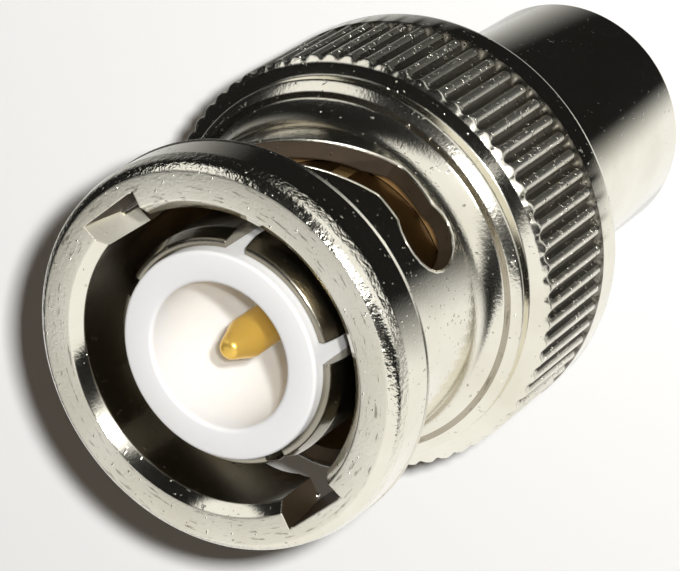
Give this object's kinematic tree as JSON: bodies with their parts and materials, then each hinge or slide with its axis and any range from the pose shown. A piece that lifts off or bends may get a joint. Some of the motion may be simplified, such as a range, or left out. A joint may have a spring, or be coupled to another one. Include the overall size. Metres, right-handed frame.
{
  "type": "bnc terminator",
  "caption": "Bayonet coaxial terminator plug: knurled coupling nut that turns on a plug body with spring fingers, white insulator and gold pin, closed by a plain end cap.",
  "frame": {"origin": "centre of the end cap's flat end face", "axes": "+Z along the connector's axis, from the end cap towards the mating face; +X through one entry notch"},
  "size_m": [0.0144, 0.0144, 0.0258],
  "materials": {
    "nickel_plate": "bright nickel plate on turned brass",
    "ptfe": "turned white ptfe",
    "glass_fibre_sleeve": "varnished fibre sleeve",
    "gold_plate": "gold plate on brass",
    "silicone_rubber": "moulded silicone",
    "spring_steel": "stamped spring steel",
    "resistor_lacquer": "lacquered film on a ceramic rod",
    "tinned_steel": "tinned pressed steel",
    "tinned_copper": "tinned drawn wire",
    "solder": "set solder",
    "bare_brass": "stamped brass"
  },
  "bodies": {
    "plug": {"plug_body": "nickel_plate", "outer_contact": "nickel_plate", "front_insulator": "ptfe", "rear_insulator": "ptfe", "centre_pin": "gold_plate", "gasket": "silicone_rubber", "wave_washer": "spring_steel", "snap_ring": "spring_steel", "resistor_rod": "resistor_lacquer", "resistor_front_ferrule": "tinned_steel", "resistor_rear_ferrule": "tinned_steel", "front_lead": "tinned_copper", "rear_lead": "tinned_copper", "pin_solder": "solder", "earth_disc": "bare_brass", "earth_solder": "solder", "insulating_sleeve": "glass_fibre_sleeve", "end_cap": "nickel_plate"},
    "thrust": {"thrust_washer": "spring_steel"},
    "nut": {"coupling_nut": "nickel_plate"}
  },
  "joints": [
    {"name": "nut_slide", "type": "slide", "parent": "plug", "child": "thrust", "axis": [0, 0, 1], "range_m": [0, 0.0007], "stiffness_N_per_m": 8000, "springref_m": -0.0003, "deforming": ["wave_washer"]},
    {"name": "nut_turn", "type": "hinge", "parent": "thrust", "child": "nut", "pos_m": [0, 0, 0.0186], "axis": [0, 0, 1], "continuous": true}
  ]
}
